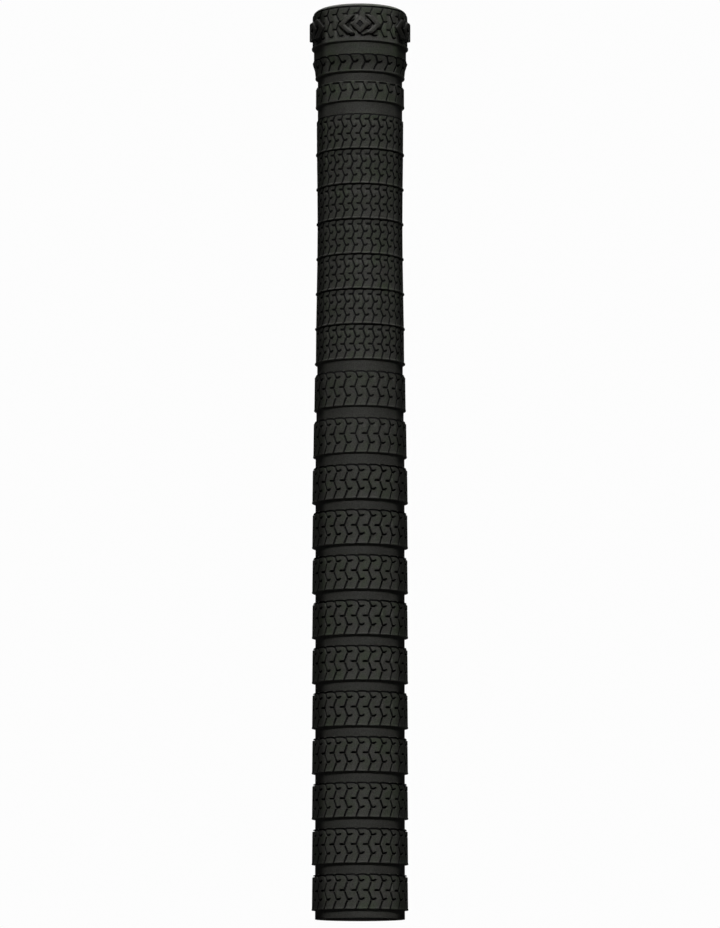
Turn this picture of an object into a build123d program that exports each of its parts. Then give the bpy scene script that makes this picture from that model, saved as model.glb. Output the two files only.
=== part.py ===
from build123d import *

import os
from math import cos, pi

# Moulded rubber grip for a cricket bat handle: an open tube that stands on its
# plain lower end, with the bore along +Z and the collar at the top.
# All sizes are in millimetres. The origin is the centre of the lower end.

# ---- driving dimensions ---------------------------------------------------
overall_length = 290.0

# the bore that the bat handle is pressed into
bore_radius = 12.25
bore_lead_in = 0.5

# walls of the core sleeve, from the bore out to the groove floors
grip_wall = 1.85
shoulder_wall_step = 0.25
neck_wall = 1.25
band_seat_wall = 0.8

# lower zone: separate tread rings with plain grooves between them
plain_end = 2.8
grip_ring_count = 10
grip_groove = 3.36
grip_rise_top = 0.88
grip_rise_bottom = 1.0

# shoulder rings: the two top rings of the lower zone, each a step smaller
shoulder_ring_count = 2
shoulder_ring_height = 11.2
shoulder_groove = 3.7
shoulder_step = 0.3

# upper zone: tread bands that touch each other, waisted in the middle
band_count = 7
band_height = 11.25
band_waist_rise = 0.5
band_top_flare = 0.3
band_bottom_flare = 0.5
band_waist_place = 0.56

# neck: two short rings between plain grooves
neck_groove = 4.2
neck_lower_height = 6.3
neck_lower_rise = 0.6
neck_middle_groove = 3.1
neck_upper_height = 5.5
neck_upper_rise_top = 1.75
neck_upper_rise_bottom = 0.7
neck_upper_hollow = 0.26

# collar: a plain shoulder, then the thick rounded band
collar_shoulder_height = 4.1
collar_shoulder_rise = 1.25
collar_height = 12.3
collar_rise = 1.7
collar_foot_flare = 0.25
rim_round = 2.2

# lip and corner of every ring
lip_height = 0.5
ring_lip = 0.1
band_lip = 0.33
corner = 0.35

# raised marks round the collar
motif_count = 5
motif_rise = 0.95
motif_height = 6.0
motif_below_rim = 7.1
lozenge_width = 6.4
chevron_gap = 1.7
chevron_stroke = 2.4

# ---- radii and heights worked out from the sizes above ----------------------
grip_core_radius = bore_radius + grip_wall
neck_core_radius = bore_radius + neck_wall
band_seat_radius = bore_radius + band_seat_wall
neck_lower_radius = neck_core_radius + neck_lower_rise
neck_upper_radius_top = neck_core_radius + neck_upper_rise_top
neck_upper_radius_bottom = neck_core_radius + neck_upper_rise_bottom
collar_radius = neck_core_radius + collar_rise
motif_radius = collar_radius + motif_rise
motif_middle = overall_length - motif_below_rim

collar_bottom = overall_length - collar_height
neck_upper_top = collar_bottom - collar_shoulder_height
neck_upper_bottom = neck_upper_top - neck_upper_height
neck_lower_top = neck_upper_bottom - neck_middle_groove
neck_lower_bottom = neck_lower_top - neck_lower_height
band_zone_top = neck_lower_bottom - neck_groove
band_zone_bottom = band_zone_top - band_count * band_height
shoulder_pitch = shoulder_ring_height + shoulder_groove
shoulder_bottom = band_zone_bottom - shoulder_ring_count * shoulder_pitch
grip_top = shoulder_bottom - shoulder_groove
grip_grooves = (grip_ring_count - 1) * grip_groove
grip_ring_height = (grip_top - plain_end - grip_grooves) / grip_ring_count
grip_pitch = grip_ring_height + grip_groove

os.makedirs("parts", exist_ok=True)


def turned(outline, rounds=None):
    """A solid of revolution about Z, from (radius, height) corners and their fillets."""
    if rounds is None:
        rounds = [0] * len(outline)
    wire = FilletPolyline(*outline, radius=rounds, close=True)
    return revolve(Plane.XZ * make_face(wire), axis=Axis.Z)


def core_radius_above_shoulder(step):
    """Groove floor radius above shoulder ring number step, counted upwards from 0."""
    return grip_core_radius - step * shoulder_wall_step


# ---- core sleeve ------------------------------------------------------------
def core_outline():
    """Outer corners of the sleeve from the lower end to the upper end."""
    corners = [(0, 0), (grip_core_radius, 0)]
    for step in range(shoulder_ring_count):
        ring_bottom = shoulder_bottom + step * shoulder_pitch
        ring_middle = ring_bottom + shoulder_ring_height / 2
        corners.append((core_radius_above_shoulder(step), ring_middle))
        corners.append((core_radius_above_shoulder(step + 1), ring_middle))
    corners.append((core_radius_above_shoulder(shoulder_ring_count), band_zone_bottom))
    corners.append((band_seat_radius, band_zone_bottom))
    corners.append((band_seat_radius, band_zone_top))
    corners.append((neck_core_radius, band_zone_top))
    corners.append((neck_core_radius, overall_length))
    corners.append((0, overall_length))
    return corners


solid_core = turned(core_outline())


def bore_tool():
    """The bore with a small conical lead-in at each end."""
    mouth = bore_radius + bore_lead_in
    return turned([
        (0, 0),
        (mouth, 0),
        (bore_radius, bore_lead_in),
        (bore_radius, overall_length - bore_lead_in),
        (mouth, overall_length),
        (0, overall_length),
    ])


def seated(blank):
    """The part of a blank that lies outside the core sleeve."""
    return blank - solid_core


# ---- rings, bands and collar --------------------------------------------------
def tread_ring(bottom, height, radius_bottom, radius_top, lip):
    """A ring with a sharp flared lip at its foot and a broken corner at its head."""
    top = bottom + height
    return seated(turned([
        (0, bottom),
        (radius_bottom + lip, bottom),
        (radius_bottom + lip, bottom + lip_height / 2),
        (radius_bottom, bottom + lip_height),
        (radius_top, top - corner),
        (radius_top - corner, top),
        (0, top),
    ]))


def band_radius(height):
    """Outer radius of the upper bands: a smooth waist between two wider ends."""
    waist_height = band_zone_bottom + band_waist_place * (band_zone_top - band_zone_bottom)
    if height > waist_height:
        flare = band_top_flare
        share = (height - waist_height) / (band_zone_top - waist_height)
    else:
        flare = band_bottom_flare
        share = (waist_height - height) / (waist_height - band_zone_bottom)
    waist_radius = band_seat_radius + band_waist_rise
    return waist_radius + flare * (1 - cos(pi * share)) / 2


def neck_upper():
    """The tapered neck ring: wide at its head, hollowed down to its foot."""
    foot_radius = neck_upper_radius_bottom + ring_lip
    waist_radius = neck_upper_radius_bottom + neck_upper_hollow
    return seated(turned([
        (0, neck_upper_bottom),
        (foot_radius, neck_upper_bottom),
        (foot_radius, neck_upper_bottom + lip_height / 2),
        (neck_upper_radius_bottom, neck_upper_bottom + lip_height),
        (waist_radius, neck_upper_bottom + neck_upper_height / 2),
        (neck_upper_radius_top, neck_upper_top - corner),
        (neck_upper_radius_top - corner, neck_upper_top),
        (0, neck_upper_top),
    ]))


def collar_blank():
    """The collar with its plain shoulder below and its rounded rim above."""
    shoulder_radius = neck_core_radius + collar_shoulder_rise
    foot_radius = collar_radius + collar_foot_flare
    return turned([
        (0, neck_upper_top),
        (shoulder_radius, neck_upper_top),
        (shoulder_radius, collar_bottom),
        (foot_radius, collar_bottom),
        (foot_radius, collar_bottom + lip_height / 2),
        (collar_radius, collar_bottom + lip_height),
        (collar_radius, overall_length),
        (0, overall_length),
    ], [0, 0, 0, 0, 0, 0, rim_round, 0])


solid_collar = collar_blank()


# ---- raised marks on the collar ---------------------------------------------
def lozenge():
    """Flat outline of the middle mark: across is X, up is Y."""
    half_width = lozenge_width / 2
    half_height = motif_height / 2
    return make_face(Polyline(
        (-half_width, 0), (0, -half_height), (half_width, 0), (0, half_height), close=True))


def chevron(side):
    """Flat outline of the chevron beside the lozenge, its arms parallel to it; side is -1 or 1."""
    half_width = lozenge_width / 2
    half_height = motif_height / 2
    near_tip = half_width + chevron_gap
    far_tip = near_tip + chevron_stroke
    return make_face(Polyline(
        (side * (near_tip - half_width), half_height),
        (side * (far_tip - half_width), half_height),
        (side * far_tip, 0),
        (side * (far_tip - half_width), -half_height),
        (side * (near_tip - half_width), -half_height),
        (side * near_tip, 0),
        close=True))


def raised_mark(outline, angle):
    """An outline wrapped on the collar: cut radially through the shell of the mark's rise."""
    facing = Plane(origin=(0, 0, motif_middle), x_dir=(1, 0, 0), z_dir=(0, -1, 0))
    prism = extrude(facing * outline, amount=2 * motif_radius)
    shell = Pos(0, 0, motif_middle) * Cylinder(motif_radius, 2 * motif_height)
    return Rot(0, 0, angle) * ((prism & shell) - solid_collar)


def collar_marks():
    """Every raised mark round the collar, as separate solids."""
    marks = []
    for index in range(motif_count):
        angle = 360 * index / motif_count
        marks.append(raised_mark(lozenge(), angle))
        marks.append(raised_mark(chevron(-1), angle))
        marks.append(raised_mark(chevron(1), angle))
    return marks


# ---- parts ------------------------------------------------------------------
def save(shape, node):
    """Write one node."""
    export_step(shape, f"parts/{node}.step")


save(solid_core - bore_tool(), "core_sleeve")
save(seated(solid_collar), "collar")
save(Compound(children=[solid for mark in collar_marks() for solid in mark.solids()]), "collar_motifs")
save(neck_upper(), "neck_ring_upper")

save(tread_ring(neck_lower_bottom, neck_lower_height, neck_lower_radius, neck_lower_radius, ring_lip),
     "neck_ring_lower")

# upper bands are numbered from the top
for index in range(band_count):
    band_top = band_zone_top - index * band_height
    band_bottom = band_top - band_height
    save(tread_ring(band_bottom, band_height, band_radius(band_bottom), band_radius(band_top), band_lip),
         f"upper_band_{index + 1}")

# lower rings are numbered from the top: the shoulder rings first, then the grip rings
for index in range(shoulder_ring_count):
    steps_down = shoulder_ring_count - index
    ring_bottom = shoulder_bottom + (steps_down - 1) * shoulder_pitch
    shrink = steps_down * shoulder_step
    save(tread_ring(ring_bottom, shoulder_ring_height,
                    grip_core_radius + grip_rise_bottom - shrink,
                    grip_core_radius + grip_rise_top - shrink, ring_lip),
         f"lower_ring_{index + 1}")

for index in range(grip_ring_count):
    ring_bottom = plain_end + (grip_ring_count - 1 - index) * grip_pitch
    save(tread_ring(ring_bottom, grip_ring_height, grip_core_radius + grip_rise_bottom,
                    grip_core_radius + grip_rise_top, ring_lip),
         f"lower_ring_{shoulder_ring_count + index + 1}")
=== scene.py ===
import math

import bpy
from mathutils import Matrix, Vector
from mathutils.geometry import delaunay_2d_cdt


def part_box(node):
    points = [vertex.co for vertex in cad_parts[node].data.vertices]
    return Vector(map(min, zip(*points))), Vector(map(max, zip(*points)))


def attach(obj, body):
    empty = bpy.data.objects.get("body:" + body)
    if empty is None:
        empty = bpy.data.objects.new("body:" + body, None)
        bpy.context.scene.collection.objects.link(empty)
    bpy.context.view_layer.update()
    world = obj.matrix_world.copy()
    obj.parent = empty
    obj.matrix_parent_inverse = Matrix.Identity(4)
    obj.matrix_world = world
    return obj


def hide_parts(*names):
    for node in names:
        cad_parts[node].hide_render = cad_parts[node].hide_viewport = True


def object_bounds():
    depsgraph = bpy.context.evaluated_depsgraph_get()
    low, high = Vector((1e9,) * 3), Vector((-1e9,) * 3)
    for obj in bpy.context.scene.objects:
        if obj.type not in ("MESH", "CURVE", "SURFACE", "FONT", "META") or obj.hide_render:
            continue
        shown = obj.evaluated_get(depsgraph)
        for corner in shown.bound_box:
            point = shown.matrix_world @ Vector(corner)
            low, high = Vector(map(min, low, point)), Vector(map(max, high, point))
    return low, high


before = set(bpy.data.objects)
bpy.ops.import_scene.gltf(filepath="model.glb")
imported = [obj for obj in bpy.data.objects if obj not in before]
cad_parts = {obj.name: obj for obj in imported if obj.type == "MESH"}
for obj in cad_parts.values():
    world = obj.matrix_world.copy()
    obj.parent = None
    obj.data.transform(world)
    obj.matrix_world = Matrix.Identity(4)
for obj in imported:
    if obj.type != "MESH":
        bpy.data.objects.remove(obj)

cad_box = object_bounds()

# Black moulded-rubber grip for a cricket bat handle, standing on its plain end.
# The CAD holds plain turned rings; here every ring gets its cut tread, the collar
# its rim bead and raised marks, and every piece its rubber.

MM = 0.001

# ---- the tread: counts, sizes in mm, and the angle that stays a sharp edge ---------
shoulder_rings = 2
grip_rings = 10
bands = 7
mark_repeats = 5
sleeve_repeats = 180

grip_cut = 0.80
shoulder_cut = 0.48
band_cut = 0.44
neck_upper_cut = 0.60
neck_lower_cut = 0.50
collar_cut = 0.40

rim_bead = 0.95
rim_line_width = 0.62
rim_steps = 16
ring_ease = 0.12
crease_degrees = 50
least_collar_body = 5

# ---- sizes of the raised marks, in mm -------------------------------------------
mark_middle_below_head = 7.1
mark_height = 6.0
lozenge_width = 6.4
chevron_gap = 1.7
chevron_stroke = 2.4
mark_rise = 0.95
mark_edge = 0.10
mark_bevel = 0.28
dimple_width = 2.6
dimple_height = 2.5
dimple_depth = 0.45
dimple_slope = 0.12
mark_edge_drop = 0.12
mark_column = 0.45
# painted shade at the foot of each mark's sides and on its dimple's floor, given as a cut share
mark_shade = 0.45


# ---- outlines, read from the CAD nodes ------------------------------------------
# Tolerances in mm: for a foot, a head or the bore, for corners at one height, the least
# step at a height, the room that tells an outer corner from a seat, and a hair's breadth.
tolerance = 0.01
same_height = 0.002
least_step = 0.02
clear_of_seat = 0.05
hair = 1e-4

# the most of a side that the ease of its corner takes up
longest_ease = 0.45


def node_points(node):
    """Radius and height in mm of every vertex of a turned CAD node."""
    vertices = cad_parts[node].data.vertices
    return [(math.hypot(v.co.x, v.co.y) / MM, v.co.z / MM) for v in vertices]


def seat_radii(points):
    """Inner radius of a turned node at its foot and at its head."""
    foot = min(height for _, height in points)
    head = max(height for _, height in points)
    at_foot = min(radius for radius, height in points if height - foot < tolerance)
    at_head = min(radius for radius, height in points if head - height < tolerance)
    return at_foot, at_head


def upward_outline(points):
    """Distinct corners from foot to head; two at one height keep the order that steps least."""
    corners = sorted({(round(height, 3), round(radius, 3)) for radius, height in points})
    outline = []
    while corners:
        height = corners[0][0]
        level = [radius for z, radius in corners if abs(z - height) < same_height]
        corners = corners[len(level):]
        if outline and abs(level[-1] - outline[-1][0]) < abs(level[0] - outline[-1][0]):
            level.reverse()
        outline.append((level[0], height))
        if abs(level[-1] - level[0]) > least_step:
            outline.append((level[-1], height))
    return outline


def outer_outline(node):
    """Outer corners of a turned ring from its foot to its head, and its two seat radii."""
    points = node_points(node)
    seats = seat_radii(points)
    beyond = max(seats) + clear_of_seat
    outline = upward_outline([point for point in points if point[0] > beyond])
    return outline, seats


def eased(points, radii, steps=3):
    """Rounds the corners of an open outline: each corner becomes a short curve of its own size."""
    result = []
    for index, corner in enumerate(points):
        radius = radii[index]
        if radius == 0:
            result.append(corner)
            continue
        here = Vector(corner)
        back = Vector(points[index - 1]) - here
        ahead = Vector(points[index + 1]) - here
        start = here + back.normalized() * min(radius, longest_ease * back.length)
        end = here + ahead.normalized() * min(radius, longest_ease * ahead.length)
        for step in range(steps + 1):
            t = step / steps
            spot = start * (1 - t) ** 2 + here * 2 * t * (1 - t) + end * t ** 2
            result.append((spot.x, spot.y))
    return result


def travels(loop):
    """Distance along a line of corners at each corner."""
    travel = [0.0]
    for (r0, z0), (r1, z1) in zip(loop, loop[1:]):
        travel.append(travel[-1] + math.hypot(r1 - r0, z1 - z0))
    return travel


def spot_along(loop, travel, distance):
    """Radius and height at a distance along a line of corners."""
    for index in range(len(loop) - 1):
        if distance <= travel[index + 1] + 1e-6:
            share = (distance - travel[index]) / max(travel[index + 1] - travel[index], 1e-9)
            (r0, z0), (r1, z1) = loop[index], loop[index + 1]
            return r0 + (r1 - r0) * share, z0 + (z1 - z0) * share
    return loop[-1]


def travel_at_height(loop, travel, first, last, height):
    """Distance along the outer side of a loop, between two of its corners, where it passes a height."""
    for index in range(first, last):
        z0, z1 = loop[index][1], loop[index + 1][1]
        if z0 <= height <= z1 and z1 > z0:
            return travel[index] + (travel[index + 1] - travel[index]) * (height - z0) / (z1 - z0)
    return travel[last] if height > loop[first][1] else travel[first]


# ---- tread strokes ----------------------------------------------------------------
# A tread is a zigzag that runs down the ring with a short level foot at each turn.
# Each turn is (share of the height from the head, side, foot as a share of the repeat).
LEFT, RIGHT = -1, 1
GRIP_TURNS = (
    (-0.01, LEFT, 0), (0.205, RIGHT, 0.33), (0.475, LEFT, 0.36), (0.735, RIGHT, 0.33), (1.0, LEFT, 0))
BAND_TURNS = (
    (-0.03, RIGHT, 0), (0.17, LEFT, 0.36), (0.385, RIGHT, 0.33), (0.58, LEFT, 0.36), (0.77, RIGHT, 0.33),
    (1.0, LEFT, 0))
NECK_UPPER_TURNS = ((-0.02, LEFT, 0), (0.48, RIGHT, 0.33), (0.88, LEFT, 0))
NECK_LOWER_TURNS = ((0.08, LEFT, 0.55), (0.50, RIGHT, 0.36), (0.94, LEFT, 0))
COLLAR_TURNS = (
    (-0.10, RIGHT, 0), (0.14, LEFT, 0.36), (0.39, RIGHT, 0.33), (0.65, LEFT, 0.36), (0.89, RIGHT, 0.33))

# how deep the feet and the diagonals are cut, as shares of a ring's cut depth
DEEP, SHALLOW = 1.0, 0.85
# where a right-hand foot bends up, as a share of its length, and its tip's rise, of its width
FOOT_BEND, TIP_RISE = 0.7, 0.45
# how far a dip of the head line reaches to each side, as a share of the repeat
DIP_REACH = 0.2


# A layout says how often it repeats round the ring, how far its zigzag swings as a share
# of the repeat, and in mm the gap above each diagonal, the widths of its diagonals and
# feet, and the drop, scallop and width of the line under the ring's head.
GRIP_TREAD = {"turns": GRIP_TURNS, "repeats": 25, "swing": 0.29, "gap": 0.62,
              "diagonal": 0.56, "foot": 0.64, "line": (0.29, 0.30, 0.68)}
BAND_TREAD = {"turns": BAND_TURNS, "repeats": 29, "swing": 0.30, "gap": 0.52,
              "diagonal": 0.56, "foot": 0.66, "line": (0.24, 0.24, 0.56)}
NECK_UPPER_TREAD = {"turns": NECK_UPPER_TURNS, "repeats": 23, "swing": 0.29, "gap": 0.55,
                    "diagonal": 0.68, "foot": 0.76, "line": (0.26, 0.30, 0.60)}
NECK_LOWER_TREAD = {"turns": NECK_LOWER_TURNS, "repeats": 22, "swing": 0.29, "gap": 0.55,
                    "diagonal": 0.50, "foot": 0.68, "line": None}
COLLAR_TREAD = {"turns": COLLAR_TURNS, "repeats": 26, "swing": 0.30, "gap": 0.35,
                "diagonal": 0.44, "foot": 0.50, "line": None}


def hooks(layout, head, foot):
    """Strokes of one repeat: (start, end, half width, depth share), in repeat shares and mm.

    Each turn is a hook: a diagonal that starts a little below the turn before it,
    and a level foot that runs outwards from the diagonal's lower end, its tip
    turned up where it runs to the right."""
    turns, swing, foot_width = layout["turns"], layout["swing"], layout["foot"]
    corners = [(0.5 + side * swing / 2, head + (foot - head) * share) for share, side, _ in turns]
    strokes = []
    for (x0, z0), (x1, z1) in zip(corners, corners[1:]):
        start = layout["gap"] / abs(z1 - z0)
        top = (x0 + (x1 - x0) * start, z0 + (z1 - z0) * start)
        strokes.append((top, (x1, z1), layout["diagonal"] / 2, SHALLOW))
    for (across, height), (_, side, length) in zip(corners, turns):
        if not length:
            continue
        tip = (across + side * length, height)
        if side == RIGHT:
            bend = (across + side * length * FOOT_BEND, height)
            strokes.append(((across, height), bend, foot_width / 2, DEEP))
            strokes.append((bend, (tip[0], height + foot_width * TIP_RISE), foot_width / 2, DEEP))
        else:
            strokes.append(((across, height), tip, foot_width / 2, DEEP))
    return strokes


def head_line(layout, head):
    """The cut that runs round just under a ring's head and dips where each diagonal starts."""
    drop, scallop, width = layout["line"]
    first_side = layout["turns"][0][1]
    level = head - drop
    low = level - scallop
    dip = 0.5 + first_side * layout["swing"] / 2
    half = width / 2
    return [
        ((dip - 0.5, level), (dip - DIP_REACH, level), half, SHALLOW),
        ((dip - DIP_REACH, level), (dip, low), half, SHALLOW),
        ((dip, low), (dip + DIP_REACH, level), half, SHALLOW),
        ((dip + DIP_REACH, level), (dip + 0.5, level), half, SHALLOW),
    ]


# ---- tread tile ----------------------------------------------------------------
# One repeat of the tread, unrolled: across is a share of the repeat, then the
# radius and the height. How deep each point is cut is kept in an attribute, which the rubber
# also reads to paint shade into the cuts and to lighten their edges. A cut's wall leaves the land,
# bends and meets the floor at these distances, in mm, from the stroke's edge.
LAND, WALL, FLOOR = 0.07, 0.01, -0.05
CUT_STEPS = ((LAND, 0.0), (WALL, 0.25), (FLOOR, 1.0))
CAP_STEPS = 3
# strokes that lie farther than this outside the tile, in mm, are left out
TILE_MARGIN = 1


def stroke_outline(start, end, reach):
    """A capsule round a stroke, at one distance from its middle line."""
    along = (end - start).normalized()
    side = Vector((-along.y, along.x))
    points = []
    for centre, sign in ((end, 1), (start, -1)):
        for step in range(CAP_STEPS + 1):
            turn = math.pi * (0.5 - step / CAP_STEPS)
            points.append(centre + sign * reach * (along * math.cos(turn) + side * math.sin(turn)))
    return points


def stroke_distance(point, start, end):
    """Distance from a point to a stroke's middle line."""
    span = end - start
    share = max(0.0, min(1.0, (point - start).dot(span) / span.length_squared))
    return (point - start - span * share).length


def cut_share(distance, half_width):
    """How deep the cut is at a distance from a stroke, from 0 on the land to 1 on the floor."""
    beyond = distance - half_width
    if beyond >= LAND:
        return 0.0
    for (outer, outer_cut), (inner, inner_cut) in zip(CUT_STEPS, CUT_STEPS[1:]):
        if beyond >= inner:
            return inner_cut + (outer_cut - inner_cut) * (beyond - inner) / (outer - inner)
    return 1.0


def deepest_cut(spot, lines):
    """The deepest cut that any stroke makes at a point of the tile."""
    cut = 0.0
    for start, end, half_width, depth in lines:
        distance = stroke_distance(spot, start, end)
        if distance < half_width + LAND:
            cut = max(cut, depth * cut_share(distance, half_width))
    return cut


def add_path(points, edges, path, closed):
    """Adds a line of points and its edges to a flat drawing."""
    first = len(points)
    count = len(path)
    points.extend(path)
    edges.extend((first + i, first + (i + 1) % count) for i in range(count if closed else count - 1))


def kept_faces(spots, faces, inside):
    """Faces of a flat drawing whose middle lies inside, renumbered, with the spots they use."""
    kept = []
    for face in faces:
        middle = sum((spots[i] for i in face), Vector((0, 0))) / len(face)
        if inside(middle):
            kept.append(face)
    used = sorted({i for face in kept for i in face})
    order = {old: new for new, old in enumerate(used)}
    return [spots[i] for i in used], [[order[i] for i in face] for face in kept]


def tile_mesh(name, coords, faces, cuts):
    """A tile as a mesh in metres, with its cut attribute."""
    mesh = bpy.data.meshes.new(name)
    mesh.from_pydata(coords, [], faces)
    attribute = mesh.attributes.new("cut", "FLOAT", "POINT")
    attribute.data.foreach_set("value", cuts)
    return mesh


def tread_tile(name, loop, cut_from, cut_to, strokes, pitch, columns=4):
    """Mesh of one repeat of a turned piece: a closed loop of corners, cut by strokes on its outer side."""
    travel = travels(loop)
    points, edges = [], []
    for column in range(columns + 1):
        across = pitch * column / columns
        add_path(points, edges, [Vector((across, 0)), Vector((across, travel[-1]))], False)
    for distance in travel:
        add_path(points, edges, [Vector((0, distance)), Vector((pitch, distance))], False)
    lines = []
    for (x0, h0), (x1, h1), half_width, depth in strokes:
        for shift in (-1, 0, 1):
            start = Vector(((x0 + shift) * pitch, travel_at_height(loop, travel, cut_from, cut_to, h0)))
            end = Vector(((x1 + shift) * pitch, travel_at_height(loop, travel, cut_from, cut_to, h1)))
            if max(start.x, end.x) < -TILE_MARGIN or min(start.x, end.x) > pitch + TILE_MARGIN:
                continue
            lines.append((start, end, half_width, depth))
            for reach in (LAND, WALL, FLOOR):
                add_path(points, edges, stroke_outline(start, end, half_width + reach), True)

    spots, _, faces, _, _, _ = delaunay_2d_cdt(points, edges, [], 0, 1e-5)

    def inside(middle):
        return -hair < middle.x < pitch + hair and -hair < middle.y < travel[-1] + hair

    spots, faces = kept_faces(spots, faces, inside)
    coords, cuts = [], []
    for spot in spots:
        radius, height = spot_along(loop, travel, min(max(spot.y, 0.0), travel[-1]))
        on_outside = travel[cut_from] - hair <= spot.y <= travel[cut_to] + hair
        coords.append((spot.x / pitch, radius * MM, height * MM))
        cuts.append(deepest_cut(spot, lines) if on_outside else 0.0)
    return tile_mesh(name, coords, faces, cuts)


# ---- ring tree -------------------------------------------------------------------
def combined(tree, operation, *values):
    """A math node on one or two values, each a socket or a number."""
    node = tree.nodes.new("ShaderNodeMath")
    node.operation = operation
    for socket, value in zip(node.inputs, values):
        if isinstance(value, (int, float)):
            socket.default_value = value
        else:
            tree.links.new(value, socket)
    return node.outputs[0]


def ring_tree():
    """Geometry nodes that wrap repeats of a tile round the grip's axis."""
    tree = bpy.data.node_groups.new("wrapped ring", "GeometryNodeTree")
    sockets = tree.interface
    sockets.new_socket("Tile", in_out="INPUT", socket_type="NodeSocketGeometry")
    for title, kind in (("Repeats", "Int"), ("Cut Depth", "Float"), ("First Turn", "Float")):
        sockets.new_socket(title, in_out="INPUT", socket_type="NodeSocket" + kind)
    sockets.new_socket("Rubber", in_out="INPUT", socket_type="NodeSocketMaterial")
    sockets.new_socket("Ring", in_out="OUTPUT", socket_type="NodeSocketGeometry")
    nodes, link = tree.nodes, tree.links.new

    given = nodes.new("NodeGroupInput").outputs
    row = nodes.new("GeometryNodeMeshLine")
    link(given["Repeats"], row.inputs["Count"])
    row.inputs["Offset"].default_value = (1, 0, 0)
    copies = nodes.new("GeometryNodeInstanceOnPoints")
    link(row.outputs["Mesh"], copies.inputs["Points"])
    link(given["Tile"], copies.inputs["Instance"])
    strip = nodes.new("GeometryNodeRealizeInstances")
    link(copies.outputs["Instances"], strip.inputs["Geometry"])

    place = nodes.new("ShaderNodeSeparateXYZ")
    link(nodes.new("GeometryNodeInputPosition").outputs[0], place.inputs[0])
    cut = nodes.new("GeometryNodeInputNamedAttribute")
    cut.data_type = "FLOAT"
    cut.inputs["Name"].default_value = "cut"
    share = combined(tree, "DIVIDE", place.outputs["X"], given["Repeats"])
    turn = combined(tree, "ADD", combined(tree, "MULTIPLY", share, 2 * math.pi), given["First Turn"])
    depth = combined(tree, "MULTIPLY", cut.outputs["Attribute"], given["Cut Depth"])
    radius = combined(tree, "SUBTRACT", place.outputs["Y"], depth)
    wrapped = nodes.new("ShaderNodeCombineXYZ")
    link(combined(tree, "MULTIPLY", radius, combined(tree, "COSINE", turn)), wrapped.inputs["X"])
    link(combined(tree, "MULTIPLY", radius, combined(tree, "SINE", turn)), wrapped.inputs["Y"])
    link(place.outputs["Z"], wrapped.inputs["Z"])
    bend = nodes.new("GeometryNodeSetPosition")
    link(strip.outputs["Geometry"], bend.inputs["Geometry"])
    link(wrapped.outputs[0], bend.inputs["Position"])
    weld = nodes.new("GeometryNodeMergeByDistance")
    link(bend.outputs["Geometry"], weld.inputs["Geometry"])
    weld.inputs["Distance"].default_value = 1e-6

    smooth = nodes.new("GeometryNodeSetShadeSmooth")
    smooth.domain = "FACE"
    link(weld.outputs["Geometry"], smooth.inputs["Geometry"])
    crease = nodes.new("GeometryNodeSetShadeSmooth")
    crease.domain = "EDGE"
    bent = nodes.new("GeometryNodeInputMeshEdgeAngle")
    sharp = combined(tree, "GREATER_THAN", bent.outputs["Unsigned Angle"], math.radians(crease_degrees))
    link(sharp, crease.inputs["Selection"])
    crease.inputs["Shade Smooth"].default_value = False
    link(smooth.outputs["Geometry"], crease.inputs["Geometry"])

    whole = nodes.new("GeometryNodeRealizeInstances")
    link(crease.outputs["Geometry"], whole.inputs["Geometry"])
    dressed = nodes.new("GeometryNodeSetMaterial")
    link(whole.outputs["Geometry"], dressed.inputs["Geometry"])
    link(given["Rubber"], dressed.inputs["Material"])
    link(dressed.outputs["Geometry"], nodes.new("NodeGroupOutput").inputs["Ring"])
    return tree


def wrap_ring(name, tile, tree, repeats, cut_depth, first_turn, material):
    """Wraps a tile with the ring tree and returns the plain mesh object."""
    source = bpy.data.objects.new(name + "_tile", tile)
    bpy.context.scene.collection.objects.link(source)
    modifier = source.modifiers.new("ring", "NODES")
    modifier.node_group = tree
    values = {"Repeats": repeats, "Cut Depth": cut_depth, "First Turn": first_turn, "Rubber": material}
    for item in tree.interface.items_tree:
        if item.in_out == "INPUT" and item.name in values:
            modifier[item.identifier] = values[item.name]
    source.update_tag()
    evaluated = source.evaluated_get(bpy.context.evaluated_depsgraph_get())
    mesh = bpy.data.meshes.new_from_object(evaluated)
    mesh.name = name
    source.modifiers.remove(modifier)
    bpy.data.objects.remove(source)
    piece = bpy.data.objects.new(name, mesh)
    bpy.context.scene.collection.objects.link(piece)
    return piece


def hand_over(piece, node):
    """Puts a finished piece on the root in place of its CAD node."""
    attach(piece, "root")
    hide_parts(node)


# ---- shared effects of the rubber ---------------------------------------------------
def effect_group(name, inputs, outputs):
    """A shader node group with named sockets; returns the group and its end nodes."""
    group = bpy.data.node_groups.new(name, "ShaderNodeTree")
    for title, kind, value in inputs:
        socket = group.interface.new_socket(title, in_out="INPUT", socket_type="NodeSocket" + kind)
        if value is not None:
            socket.default_value = value
    for title, kind in outputs:
        group.interface.new_socket(title, in_out="OUTPUT", socket_type="NodeSocket" + kind)
    return group, group.nodes.new("NodeGroupInput").outputs, group.nodes.new("NodeGroupOutput").inputs


def noise(group, place, scale, detail, roughness=0.5):
    """A noise texture on a place socket."""
    node = group.nodes.new("ShaderNodeTexNoise")
    group.links.new(place, node.inputs["Vector"])
    node.inputs["Scale"].default_value = scale
    node.inputs["Detail"].default_value = detail
    node.inputs["Roughness"].default_value = roughness
    return node.outputs["Fac"]


def spread(group, value, low, high, to_low=0.0, to_high=1.0):
    """Maps a value's range on to another, kept within its ends."""
    node = group.nodes.new("ShaderNodeMapRange")
    group.links.new(value, node.inputs["Value"])
    for title, number in (("From Min", low), ("From Max", high), ("To Min", to_low), ("To Max", to_high)):
        node.inputs[title].default_value = number
    return node.outputs["Result"]


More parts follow.
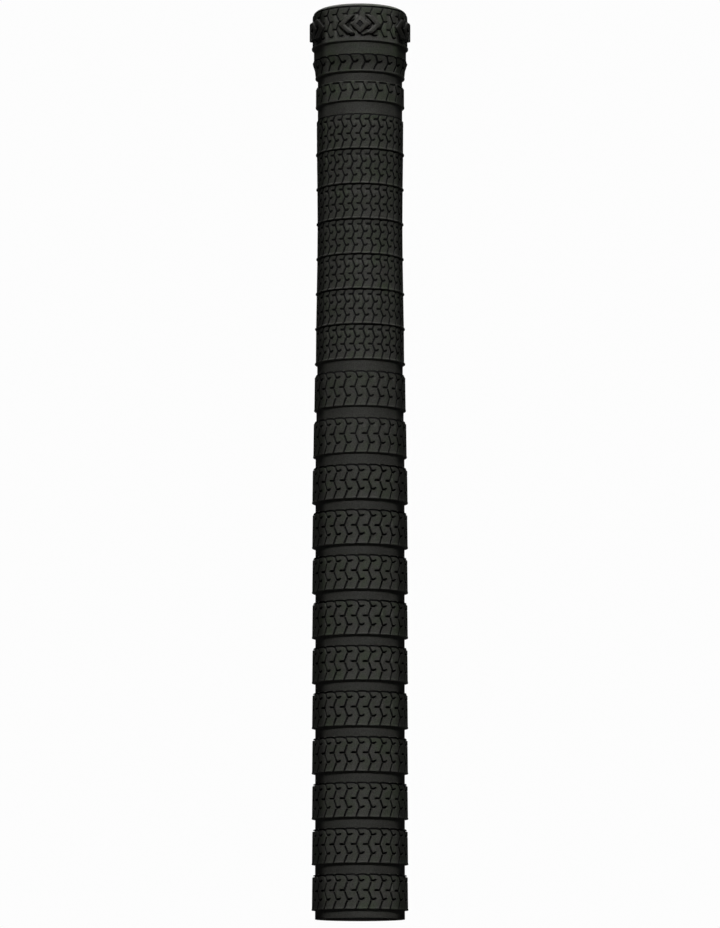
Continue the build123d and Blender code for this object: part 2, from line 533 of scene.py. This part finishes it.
def blended(group, share, first, second):
    """A colour mixed from two colours, each a socket or a plain colour."""
    node = group.nodes.new("ShaderNodeMix")
    node.data_type = "RGBA"
    group.links.new(share, node.inputs["Factor"])
    for socket, colour in ((node.inputs["A"], first), (node.inputs["B"], second)):
        if isinstance(colour, tuple):
            socket.default_value = colour
        else:
            group.links.new(colour, socket)
    return node.outputs["Result"]


def object_place(group):
    """Object coordinates, in metres."""
    return group.nodes.new("ShaderNodeTexCoord").outputs["Object"]


def moulded_grain():
    """Fine matt grain of the mould: a height for bumps and a mask of its pits."""
    group, given, taken = effect_group(
        "moulded grain", [("Pit Depth", "Float", 0.5)], [("Height", "Float"), ("Pits", "Float")])
    place = object_place(group)
    fine = noise(group, place, 5200, 3, 0.65)
    coarse = noise(group, place, 1500, 2)
    cells = group.nodes.new("ShaderNodeTexVoronoi")
    group.links.new(place, cells.inputs["Vector"])
    cells.inputs["Scale"].default_value = 2300
    pits = spread(group, cells.outputs["Distance"], 0.05, 0.35, 1.0, 0.0)
    pits = combined(group, "MULTIPLY", pits, spread(group, coarse, 0.5, 0.7))
    waves = combined(group, "MULTIPLY", coarse, 0.6)
    height = combined(group, "ADD", waves, combined(group, "MULTIPLY", fine, 0.4))
    sunk = combined(group, "MULTIPLY", pits, given["Pit Depth"])
    group.links.new(combined(group, "SUBTRACT", height, sunk), taken["Height"])
    group.links.new(pits, taken["Pits"])
    return group


def batch_drift():
    """Slow drift of the rubber's colour and sheen, with faint greenish bloom in patches."""
    group, given, taken = effect_group(
        "batch drift", [("Colour", "Color", None), ("Bloom", "Color", None)],
        [("Colour", "Color"), ("Sheen", "Float")])
    place = object_place(group)
    slow = noise(group, place, 60, 2)
    patch = noise(group, place, 210, 4, 0.6)
    speckle = noise(group, place, 2600, 2, 0.7)
    bloom_share = combined(group, "MULTIPLY", spread(group, patch, 0.42, 0.62),
                           spread(group, slow, 0.35, 0.65, 0.4, 1.0))
    bloomed = blended(group, bloom_share, given["Colour"], given["Bloom"])
    tone = group.nodes.new("ShaderNodeHueSaturation")
    group.links.new(bloomed, tone.inputs["Color"])
    lightness = combined(group, "ADD", spread(group, speckle, 0.3, 0.7, -0.32, 0.32),
                         spread(group, slow, 0.3, 0.7, 0.93, 1.06))
    group.links.new(lightness, tone.inputs["Value"])
    group.links.new(tone.outputs["Color"], taken["Colour"])
    group.links.new(spread(group, patch, 0.3, 0.7, -0.06, 0.06), taken["Sheen"])
    return group


# painted shade: the near-black painted inside the tread's cuts and at the feet of the marks, in place of the
# shade that falls in them
painted_cut_shade_black = (0.0015, 0.0015, 0.0015, 1)
# worn by rubbing, with a painted highlight: the lighter grey of the cuts' edges
worn_and_lit_grey = (0.085, 0.086, 0.080, 1)
dust_grey = (0.16, 0.155, 0.14, 1)


def painted_cut_shade_and_edges():
    """Paints shade into the tread's cuts, near-black on their walls and floors, and lightens their edges:
    worn by rubbing, with a painted highlight.
    """
    group, given, taken = effect_group(
        "painted cut shade and edges", [("Colour", "Color", None), ("Painted Cut Shade", "Float", 0.97), ("Edge Wear And Highlight", "Float", 0.2)],
        [("Colour", "Color"), ("Roughness", "Float"), ("Inside", "Float")])
    attribute = group.nodes.new("ShaderNodeAttribute")
    attribute.attribute_name = "cut"
    cut = attribute.outputs["Fac"]
    place = object_place(group)
    inside = spread(group, cut, 0.05, 0.26)
    rising = spread(group, cut, 0.005, 0.05)
    falling = spread(group, cut, 0.10, 0.3, 1.0, 0.0)
    # lighter edges along the cuts: partly worn by rubbing, partly a painted highlight
    worn_and_lit_edges = combined(group, "MULTIPLY", combined(group, "MULTIPLY", rising, falling),
                      spread(group, noise(group, place, 420, 3), 0.4, 0.65))
    # painted shade: the base colour turns near-black on the walls and floors of the cuts
    dark = combined(group, "MULTIPLY", inside, given["Painted Cut Shade"])
    painted_shade_colour = blended(group, dark, given["Colour"], painted_cut_shade_black)
    wear_and_highlight = combined(group, "MULTIPLY", worn_and_lit_edges, given["Edge Wear And Highlight"])
    group.links.new(blended(group, wear_and_highlight, painted_shade_colour, worn_and_lit_grey), taken["Colour"])
    group.links.new(combined(group, "MULTIPLY", wear_and_highlight, -0.12), taken["Roughness"])
    group.links.new(inside, taken["Inside"])
    return group


def settled_dust():
    """Pale dust that settles on what faces up and in specks all over, kept mostly out of the cuts."""
    group, given, taken = effect_group(
        "settled dust", [("Colour", "Color", None), ("Amount", "Float", 0.1), ("Inside", "Float", 0.0)],
        [("Colour", "Color"), ("Roughness", "Float")])
    facing = group.nodes.new("ShaderNodeSeparateXYZ")
    group.links.new(group.nodes.new("ShaderNodeNewGeometry").outputs["Normal"], facing.inputs[0])
    up = spread(group, facing.outputs["Z"], 0.45, 0.95)
    place = object_place(group)
    specks = spread(group, noise(group, place, 1900, 3, 0.7), 0.62, 0.74)
    patch = spread(group, noise(group, place, 130, 3), 0.35, 0.65, 0.3, 1.0)
    lying = combined(group, "ADD", combined(group, "MULTIPLY", up, 0.7), specks)
    lying = combined(group, "MULTIPLY", lying, patch)
    dust = combined(group, "MULTIPLY", lying, given["Amount"])
    clear = combined(group, "SUBTRACT", 1.0, combined(group, "MULTIPLY", given["Inside"], 0.9))
    dust = combined(group, "MULTIPLY", dust, clear)
    group.links.new(blended(group, dust, given["Colour"], dust_grey), taken["Colour"])
    group.links.new(combined(group, "MULTIPLY", dust, 0.2), taken["Roughness"])
    return group


effects = {"grain": moulded_grain(), "drift": batch_drift(), "cuts": painted_cut_shade_and_edges(), "dust": settled_dust()}


def rubber(name, colour, bloom, roughness, grain_depth, pit_depth=0.5, dust=0.12):
    """One matt black moulded rubber, built from the shared effects."""
    material = bpy.data.materials.new(name)
    material.use_nodes = True
    tree = material.node_tree
    shader = tree.nodes["Principled BSDF"]
    shader.inputs["Specular IOR Level"].default_value = 0.22

    def effect(key):
        node = tree.nodes.new("ShaderNodeGroup")
        node.node_tree = effects[key]
        return node

    drift, cuts, dusty, grain = effect("drift"), effect("cuts"), effect("dust"), effect("grain")
    drift.inputs["Colour"].default_value = colour
    drift.inputs["Bloom"].default_value = bloom
    dusty.inputs["Amount"].default_value = dust
    grain.inputs["Pit Depth"].default_value = pit_depth
    # the cut group paints shade into the cuts and lightens their edges, worn by rubbing and with a painted
    # highlight
    tree.links.new(drift.outputs["Colour"], cuts.inputs["Colour"])
    tree.links.new(cuts.outputs["Colour"], dusty.inputs["Colour"])
    tree.links.new(cuts.outputs["Inside"], dusty.inputs["Inside"])
    tree.links.new(dusty.outputs["Colour"], shader.inputs["Base Color"])

    total = combined(tree, "ADD", drift.outputs["Sheen"], roughness)
    total = combined(tree, "ADD", total, cuts.outputs["Roughness"])
    total = combined(tree, "ADD", total, dusty.outputs["Roughness"])
    tree.links.new(total, shader.inputs["Roughness"])

    bump = tree.nodes.new("ShaderNodeBump")
    bump.inputs["Strength"].default_value = 0.6
    bump.inputs["Distance"].default_value = grain_depth * MM
    tree.links.new(grain.outputs["Height"], bump.inputs["Height"])
    tree.links.new(bump.outputs["Normal"], shader.inputs["Normal"])
    return material


black = (0.0350, 0.0352, 0.0310, 1)
green_black = (0.0300, 0.0365, 0.0240, 1)
soft_black = (0.0295, 0.0298, 0.0265, 1)
warm_black = (0.0370, 0.0370, 0.0320, 1)
ring_rubber = rubber("ring rubber", black, green_black, 0.72, 0.05)
band_rubber = rubber("band rubber", black, green_black, 0.72, 0.05, dust=0.06)
sleeve_rubber = rubber("sleeve rubber", soft_black, black, 0.64, 0.03, pit_depth=0.3)
collar_rubber = rubber("collar rubber", black, green_black, 0.66, 0.04)
mark_rubber = rubber("mark rubber", warm_black, black, 0.60, 0.03, pit_depth=0.3)


# ---- pieces -----------------------------------------------------------------------
tree = ring_tree()
facing_front = -math.pi / 2


def closed_loop(seats, outline):
    """The seat and the outer outline of a ring as one closed loop of corners."""
    loop = [(seats[0], outline[0][1])] + outline + [(seats[1], outline[-1][1])]
    loop.append(loop[0])
    return loop


def treaded_ring(node, layout, cut_depth, turned, material):
    """Cuts a tread into one ring, turns it by some degrees and hands it over."""
    outline, seats = outer_outline(node)
    foot, head = outline[0][1], outline[-1][1]
    shape = eased(outline, [0.0] + [ring_ease] * (len(outline) - 2) + [0.0])
    repeats = layout["repeats"]
    widest = max(radius for radius, _ in shape)
    pitch = 2 * math.pi * widest / repeats
    strokes = hooks(layout, head, foot)
    if layout["line"]:
        strokes += head_line(layout, head)
    tile = tread_tile(node + "_tile", closed_loop(seats, shape), 1, len(shape), strokes, pitch)
    first_turn = facing_front - math.pi / repeats + math.radians(turned)
    piece = wrap_ring(node + "_tread", tile, tree, repeats, cut_depth * MM, first_turn, material)
    hand_over(piece, node)


# the two shoulder rings stand less proud of the sleeve, so their tread is shallower
ring_cuts = [shoulder_cut] * shoulder_rings + [grip_cut] * grip_rings
ring_turned = [-4.7, -3.8] + [-2.5] * grip_rings
for number, (ring_cut, turned) in enumerate(zip(ring_cuts, ring_turned), 1):
    treaded_ring(f"lower_ring_{number}", GRIP_TREAD, ring_cut, turned, ring_rubber)
for number in range(1, bands + 1):
    turned = 0.25 + 0.75 * number
    treaded_ring(f"upper_band_{number}", BAND_TREAD, band_cut, turned, band_rubber)
treaded_ring("neck_ring_upper", NECK_UPPER_TREAD, neck_upper_cut, 4.8, ring_rubber)
treaded_ring("neck_ring_lower", NECK_LOWER_TREAD, neck_lower_cut, 6.0, ring_rubber)


def sleeve():
    """The core sleeve, turned finely: groove floors and steps outside, the bore and its mouths inside."""
    points = node_points("core_sleeve")
    bore = min(radius for radius, _ in points)
    head = max(height for _, height in points)
    wall = [(radius, height) for radius, height in points if tolerance < height < head - tolerance]
    mouths = sorted({round(height, 3) for radius, height in wall if radius < bore + tolerance})
    mouth = min(radius for radius, height in points if height < tolerance)
    outline = upward_outline([point for point in points if point[0] > mouth + clear_of_seat])
    loop = [(mouth, 0.0)] + outline + [(mouth, head), (bore, mouths[-1]), (bore, mouths[0]), (mouth, 0.0)]
    pitch = 2 * math.pi * bore / sleeve_repeats
    tile = tread_tile("core_sleeve_tile", loop, 1, len(outline), [], pitch, columns=1)
    piece = wrap_ring("core_sleeve_turned", tile, tree, sleeve_repeats, 0.0, facing_front, sleeve_rubber)
    hand_over(piece, "core_sleeve")


def collar():
    """The collar: plain shoulder, foot, faint tread and a smooth bead round the rim."""
    outline, seats = outer_outline("collar")
    head = max(height for _, height in node_points("collar"))
    rises = [after[1] - before[1] for before, after in zip(outline, outline[1:])]
    body = 1 + max(index for index, rise in enumerate(rises) if rise > least_collar_body)
    foot_height, body_top = outline[body - 1][1], outline[body][1]
    rim = outline[body:]
    travel = travels(rim)
    fine_rim = [spot_along(rim, travel, travel[-1] * step / rim_steps) for step in range(rim_steps + 1)]
    shape = outline[:body] + fine_rim
    strokes = hooks(COLLAR_TREAD, body_top, foot_height)
    line_height = head - rim_bead - rim_line_width / 2
    strokes.append(((0.0, line_height), (1.0, line_height), rim_line_width / 2, DEEP))
    repeats = COLLAR_TREAD["repeats"]
    widest = max(radius for radius, _ in shape)
    pitch = 2 * math.pi * widest / repeats
    tile = tread_tile("collar_tile", closed_loop(seats, shape), body, len(shape), strokes, pitch)
    first_turn = facing_front - math.pi / repeats
    piece = wrap_ring("collar_treaded", tile, tree, repeats, collar_cut * MM, first_turn, collar_rubber)
    hand_over(piece, "collar")


# ---- raised marks ------------------------------------------------------------------
def lozenge(width, height):
    """A lozenge about the origin, anticlockwise."""
    tips = ((-width / 2, 0), (0, -height / 2), (width / 2, 0), (0, height / 2))
    return [Vector(tip) for tip in tips]


def chevron(side):
    """The chevron beside the lozenge, anticlockwise."""
    half_width, half_height = lozenge_width / 2, mark_height / 2
    near_tip = half_width + chevron_gap
    far_tip = near_tip + chevron_stroke
    corners = [
        Vector((side * (near_tip - half_width), half_height)),
        Vector((side * near_tip, 0)),
        Vector((side * (near_tip - half_width), -half_height)),
        Vector((side * (far_tip - half_width), -half_height)),
        Vector((side * far_tip, 0)),
        Vector((side * (far_tip - half_width), half_height)),
    ]
    return corners if side > 0 else corners[::-1]


def inset(corners, distance):
    """A polygon moved inwards by a distance, its corners kept sharp."""
    count = len(corners)
    moved = []
    for index, corner in enumerate(corners):
        back = (corner - corners[index - 1]).normalized()
        ahead = (corners[(index + 1) % count] - corner).normalized()
        back_inward = Vector((-back.y, back.x))
        ahead_inward = Vector((-ahead.y, ahead.x))
        reach = distance / (1 + back_inward.dot(ahead_inward))
        moved.append(corner + (back_inward + ahead_inward) * reach)
    return moved


def edge_distance(point, corners):
    """Distance from a point to the nearest side of a polygon."""
    sides = zip(corners, corners[1:] + corners[:1])
    return min(stroke_distance(point, start, end) for start, end in sides)


def holds(corners, point):
    """Whether a polygon holds a point."""
    crossings = False
    for start, end in zip(corners, corners[1:] + corners[:1]):
        if (start.y > point.y) != (end.y > point.y):
            across = start.x + (end.x - start.x) * (point.y - start.y) / (end.y - start.y)
            if point.x < across:
                crossings = not crossings
    return crossings


def mark_top(point, outline, dimple):
    """Height of a mark's face over its seat and how deep the dimple is there."""
    inward = edge_distance(point, outline)
    if inward < hair:
        return 0.0, 0.0
    if inward < mark_edge + hair:
        return mark_rise - mark_edge_drop, 0.0
    rise = mark_rise if inward > mark_bevel - hair else mark_rise - mark_edge_drop
    if dimple and (holds(dimple, point) or edge_distance(point, dimple) < hair):
        deep = min(1.0, edge_distance(point, dimple) / dimple_slope)
        return rise - dimple_depth * deep, deep
    return rise, 0.0


def raised_mark(outline, dimple, middle, seat, pitch, coords, faces, cuts):
    """Adds one raised mark to a tile: its face, its sides and its seat."""
    points, edges = [], []
    for distance in (0.0, mark_edge, mark_bevel):
        add_path(points, edges, inset(outline, distance), True)
    if dimple:
        add_path(points, edges, dimple, True)
        add_path(points, edges, inset(dimple, dimple_slope), True)
    left = min(corner.x for corner in outline)
    right = max(corner.x for corner in outline)
    low = min(corner.y for corner in outline)
    high = max(corner.y for corner in outline)
    columns = math.ceil((right - left) / mark_column)
    for column in range(1, columns):
        across = left + (right - left) * column / columns
        add_path(points, edges, [Vector((across, low)), Vector((across, high))], False)
    spots, _, triangles, _, _, _ = delaunay_2d_cdt(points, edges, [], 0, 1e-5)
    spots, triangles = kept_faces(spots, triangles, lambda point: holds(outline, point))
    first = len(coords)
    back_of = {}
    for index, spot in enumerate(spots):
        rise, deep = mark_top(spot, outline, dimple)
        coords.append((0.5 + spot.x / pitch, (seat + rise) * MM, (middle + spot.y) * MM))
        if rise == 0.0:
            back_of[index] = first + index
            deep = 1.0
        # painted shade: the foot of each side and the dimple's floor are painted dark through the cut
        # attribute
        cuts.append(mark_shade * deep)
    for index, spot in enumerate(spots):
        if index not in back_of:
            back_of[index] = len(coords)
            coords.append((0.5 + spot.x / pitch, seat * MM, (middle + spot.y) * MM))
            cuts.append(0.0)
    for triangle in triangles:
        faces.append([first + i for i in triangle])
        faces.append([back_of[i] for i in reversed(triangle)])


def marks():
    """The raised marks round the collar: a dimpled lozenge between two chevrons, five times."""
    head = max(height for _, height in node_points("core_sleeve"))
    seat = min(radius for radius, _ in node_points("collar_motifs"))
    middle = head - mark_middle_below_head
    pitch = 2 * math.pi * (seat + mark_rise) / mark_repeats
    coords, faces, cuts = [], [], []
    diamond = lozenge(lozenge_width, mark_height)
    dimple = lozenge(dimple_width, dimple_height)
    raised_mark(diamond, dimple, middle, seat, pitch, coords, faces, cuts)
    for side in (LEFT, RIGHT):
        raised_mark(chevron(side), None, middle, seat, pitch, coords, faces, cuts)
    tile = tile_mesh("mark_tile", coords, faces, cuts)
    first_turn = facing_front - math.pi / mark_repeats
    piece = wrap_ring("collar_marks", tile, tree, mark_repeats, 0.0, first_turn, mark_rubber)
    hand_over(piece, "collar_motifs")


sleeve()
collar()
marks()

# ---- camera --------------------------------------------------------------------------
scene = bpy.context.scene
# The camera looks up at the grip from a little below the floor, which is clear from below.
camera_back = 1.610
camera_up = -0.064
sensor = 36.0
room_below = 0.0092
room_above = 0.0038


def elevation(height, forward):
    """Elevation of a point, some way in front of the axis, seen from the camera."""
    return math.atan((height - camera_up) / (camera_back - forward))


collar_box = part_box("collar")
grip_head = cad_box[1][2]
rim_round = 2.2 * MM
foot_seen = elevation(0.0, 0.0)
head_seen = elevation(grip_head, collar_box[1][1] - rim_round)
below, above = 0.5 - room_below, 0.5 - room_above
tilt = foot_seen + (head_seen - foot_seen) * below / (below + above)
camera = bpy.data.cameras.new("camera")
camera.sensor_width = sensor
camera.lens = sensor * below / math.tan(tilt - foot_seen)
camera.clip_start = 0.05
camera.clip_end = 50
viewer = bpy.data.objects.new("camera", camera)
scene.collection.objects.link(viewer)
viewer.location = (0.0, -camera_back, camera_up)
viewer.rotation_euler = (math.pi / 2 + tilt, 0, 0)
scene.camera = viewer


# ---- light ---------------------------------------------------------------------------
def light_from(azimuth, height_angle):
    """Unit direction from the grip towards a lamp; azimuth 0 is in front."""
    a, e = math.radians(azimuth), math.radians(height_angle)
    return Vector((math.sin(a) * math.cos(e), -math.cos(a) * math.cos(e), math.sin(e)))


def sun(name, azimuth, height_angle, strength, spread_angle):
    """A distant lamp."""
    lamp = bpy.data.lights.new(name, "SUN")
    lamp.energy = strength
    lamp.angle = math.radians(spread_angle)
    holder = bpy.data.objects.new(name, lamp)
    scene.collection.objects.link(holder)
    holder.rotation_euler = light_from(azimuth, height_angle).to_track_quat("Z", "Y").to_euler()


def strip_lamp(name, azimuth, height_angle, distance, width, length, power, grid_angle):
    """A tall strip lamp behind a grid, aimed at the middle of the grip."""
    lamp = bpy.data.lights.new(name, "AREA")
    lamp.shape = "RECTANGLE"
    lamp.size = width
    lamp.size_y = length
    lamp.energy = power
    lamp.spread = math.radians(grid_angle)
    holder = bpy.data.objects.new(name, lamp)
    scene.collection.objects.link(holder)
    direction = light_from(azimuth, height_angle)
    holder.location = Vector((0, 0, grip_head / 2)) + direction * distance
    holder.rotation_euler = direction.to_track_quat("Z", "Y").to_euler()


# The narrow front lamp lights the middle of the grip. The high lamps light the lands at the
# sides and leave the grooves under each ring dark. The others only lift what faces away.
strip_lamp("front strip lamp", azimuth=1, height_angle=38, distance=0.45,
           width=0.0232, length=0.34, power=0.0188, grid_angle=0.35)
sun("left high lamp", azimuth=-42, height_angle=71, strength=0.92, spread_angle=5)
sun("right high lamp", azimuth=45, height_angle=71, strength=1.04, spread_angle=5)
sun("back lamp", azimuth=180, height_angle=48, strength=1.9, spread_angle=15)
sun("left back lamp", azimuth=-146, height_angle=48, strength=0.15, spread_angle=12)
sun("right back lamp", azimuth=144, height_angle=48, strength=0.20, spread_angle=12)
sun("lamp below", azimuth=0, height_angle=-72, strength=0.35, spread_angle=20)

world = bpy.data.worlds.new("studio")
scene.world = world
world.use_nodes = True
nodes, link = world.node_tree.nodes, world.node_tree.links.new
nodes.clear()
output = nodes.new("ShaderNodeOutputWorld")
mix = nodes.new("ShaderNodeMixShader")
seen = nodes.new("ShaderNodeBackground")
seen.inputs["Color"].default_value = (0.98, 0.98, 0.98, 1)
fill = nodes.new("ShaderNodeBackground")
fill.inputs["Color"].default_value = (0.97, 0.97, 0.97, 1)
fill.inputs["Strength"].default_value = 0.014
path = nodes.new("ShaderNodeLightPath")
link(path.outputs["Is Camera Ray"], mix.inputs["Fac"])
link(fill.outputs[0], mix.inputs[1])
link(seen.outputs[0], mix.inputs[2])
link(mix.outputs[0], output.inputs["Surface"])


# ---- floor ---------------------------------------------------------------------------
def floor_paper():
    """Pale paper: bright to the camera, dim to everything else, clear from below and to lamps."""
    material = bpy.data.materials.new("pale floor")
    material.use_nodes = True
    nodes, link = material.node_tree.nodes, material.node_tree.links.new
    nodes.clear()
    output = nodes.new("ShaderNodeOutputMaterial")
    pale = nodes.new("ShaderNodeEmission")
    pale.inputs["Color"].default_value = (0.98, 0.98, 0.98, 1)
    dim = nodes.new("ShaderNodeBsdfDiffuse")
    dim.inputs["Color"].default_value = (0.08, 0.08, 0.08, 1)
    clear = nodes.new("ShaderNodeBsdfTransparent")
    by_ray = nodes.new("ShaderNodeMixShader")
    path = nodes.new("ShaderNodeLightPath")
    link(path.outputs["Is Camera Ray"], by_ray.inputs["Fac"])
    link(dim.outputs[0], by_ray.inputs[1])
    link(pale.outputs[0], by_ray.inputs[2])
    by_side = nodes.new("ShaderNodeMixShader")
    backfacing = nodes.new("ShaderNodeNewGeometry").outputs["Backfacing"]
    unseen = combined(material.node_tree, "MAXIMUM", backfacing, path.outputs["Is Shadow Ray"])
    link(unseen, by_side.inputs["Fac"])
    link(by_ray.outputs[0], by_side.inputs[1])
    link(clear.outputs[0], by_side.inputs[2])
    link(by_side.outputs[0], output.inputs["Surface"])
    return material


floor_reach = 20
floor_corners = [(-floor_reach, -floor_reach, 0), (floor_reach, -floor_reach, 0),
                 (floor_reach, floor_reach, 0), (-floor_reach, floor_reach, 0)]
floor_mesh = bpy.data.meshes.new("floor")
floor_mesh.from_pydata(floor_corners, [], [(0, 1, 2, 3)])
floor_mesh.materials.append(floor_paper())
floor = bpy.data.objects.new("floor", floor_mesh)
scene.collection.objects.link(floor)

scene.view_settings.view_transform = "Standard"
